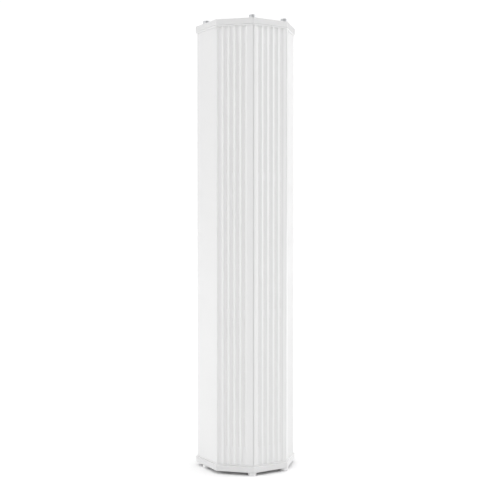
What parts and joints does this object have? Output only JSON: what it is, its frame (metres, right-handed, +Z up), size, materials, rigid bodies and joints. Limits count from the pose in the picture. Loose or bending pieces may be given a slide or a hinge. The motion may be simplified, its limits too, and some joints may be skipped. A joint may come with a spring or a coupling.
{
  "type": "column loudspeaker",
  "caption": "White column public-address loudspeaker with a fluted, slotted front, chamfered front corners and flat end caps held by exposed screws.",
  "frame": {"origin": "centre of the footprint, at the plane of the four feet that the column stands on", "axes": "+Z up along the column; -Y out of the flat front face; +X to the right of someone facing the front"},
  "size_m": [0.1348, 0.102, 0.6492],
  "materials": {
    "powder_coat_shell": "satin white powder coat on extruded aluminium",
    "powder_coat_panel": "satin white powder coat on fluted extruded aluminium",
    "acoustic_foam": "white open-cell acoustic foam",
    "powder_coat_caps": "satin white powder coat on cast aluminium",
    "grey_rubber": "matt light grey rubber",
    "birch_plywood": "sealed plywood",
    "lamination_steel": "varnished steel laminations",
    "winding_tape": "taped copper winding",
    "black_polyamide": "matt black polyamide",
    "black_sleeve": "black cable sleeve",
    "zinc_steel": "bright zinc-plated steel",
    "foot_rubber": "white rubber foot moulded round the screw head",
    "black_pressed_steel": "black coated pressed steel",
    "ferrite_motor": "ferrite ring between plated steel plates",
    "spider_cloth": "resin-stiffened cloth",
    "cone_paper": "coated black paper",
    "surround_rubber": "soft black rubber"
  },
  "bodies": {
    "column": {"rear_shell": "powder_coat_shell", "front_panel": "powder_coat_panel", "foam_left": "acoustic_foam", "foam_front": "acoustic_foam", "foam_right": "acoustic_foam", "bottom_cap": "powder_coat_caps", "top_cap": "powder_coat_caps", "bottom_gasket": "grey_rubber", "top_gasket": "grey_rubber", "baffle": "birch_plywood", "transformer_core": "lamination_steel", "transformer_coil": "winding_tape", "input_socket": "black_polyamide", "wiring_loom": "black_sleeve", "top_screw_front_left": "zinc_steel", "top_screw_front_right": "zinc_steel", "top_screw_rear_left": "zinc_steel", "top_screw_rear_right": "zinc_steel", "bottom_screw_front_left": "foot_rubber", "bottom_screw_front_right": "foot_rubber", "bottom_screw_rear_left": "foot_rubber", "bottom_screw_rear_right": "foot_rubber", "driver_1_basket": "black_pressed_steel", "driver_1_motor": "ferrite_motor", "driver_1_spider": "spider_cloth", "driver_1_surround": "surround_rubber", "driver_screw_1a": "zinc_steel", "driver_screw_1b": "zinc_steel", "driver_screw_1c": "zinc_steel", "driver_screw_1d": "zinc_steel", "driver_2_basket": "black_pressed_steel", "driver_2_motor": "ferrite_motor", "driver_2_spider": "spider_cloth", "driver_2_surround": "surround_rubber", "driver_screw_2a": "zinc_steel", "driver_screw_2b": "zinc_steel", "driver_screw_2c": "zinc_steel", "driver_screw_2d": "zinc_steel", "driver_3_basket": "black_pressed_steel", "driver_3_motor": "ferrite_motor", "driver_3_spider": "spider_cloth", "driver_3_surround": "surround_rubber", "driver_screw_3a": "zinc_steel", "driver_screw_3b": "zinc_steel", "driver_screw_3c": "zinc_steel", "driver_screw_3d": "zinc_steel", "driver_4_basket": "black_pressed_steel", "driver_4_motor": "ferrite_motor", "driver_4_spider": "spider_cloth", "driver_4_surround": "surround_rubber", "driver_screw_4a": "zinc_steel", "driver_screw_4b": "zinc_steel", "driver_screw_4c": "zinc_steel", "driver_screw_4d": "zinc_steel"},
    "cone_1": {"driver_1_cone": "cone_paper"},
    "cone_2": {"driver_2_cone": "cone_paper"},
    "cone_3": {"driver_3_cone": "cone_paper"},
    "cone_4": {"driver_4_cone": "cone_paper"},
    "rail_nut_low": {"rail_nut_lower": "zinc_steel"},
    "rail_nut_high": {"rail_nut_upper": "zinc_steel"}
  },
  "joints": [
    {"name": "cone_1_travel", "type": "slide", "parent": "column", "child": "cone_1", "axis": [0, 1, 0], "range_m": [-0.002, 0.002], "stiffness_N_per_m": 1600, "deforming": ["driver_1_surround", "driver_1_spider"]},
    {"name": "cone_2_travel", "type": "slide", "parent": "column", "child": "cone_2", "axis": [0, 1, 0], "range_m": [-0.002, 0.002], "stiffness_N_per_m": 1600, "deforming": ["driver_2_surround", "driver_2_spider"]},
    {"name": "cone_3_travel", "type": "slide", "parent": "column", "child": "cone_3", "axis": [0, 1, 0], "range_m": [-0.002, 0.002], "stiffness_N_per_m": 1600, "deforming": ["driver_3_surround", "driver_3_spider"]},
    {"name": "cone_4_travel", "type": "slide", "parent": "column", "child": "cone_4", "axis": [0, 1, 0], "range_m": [-0.002, 0.002], "stiffness_N_per_m": 1600, "deforming": ["driver_4_surround", "driver_4_spider"]},
    {"name": "rail_nut_lower_slide", "type": "slide", "parent": "column", "child": "rail_nut_low", "axis": [0, 0, 1], "range_m": [-0.14, 0.12]},
    {"name": "rail_nut_upper_slide", "type": "slide", "parent": "column", "child": "rail_nut_high", "axis": [0, 0, 1], "range_m": [-0.14, 0.14]}
  ]
}
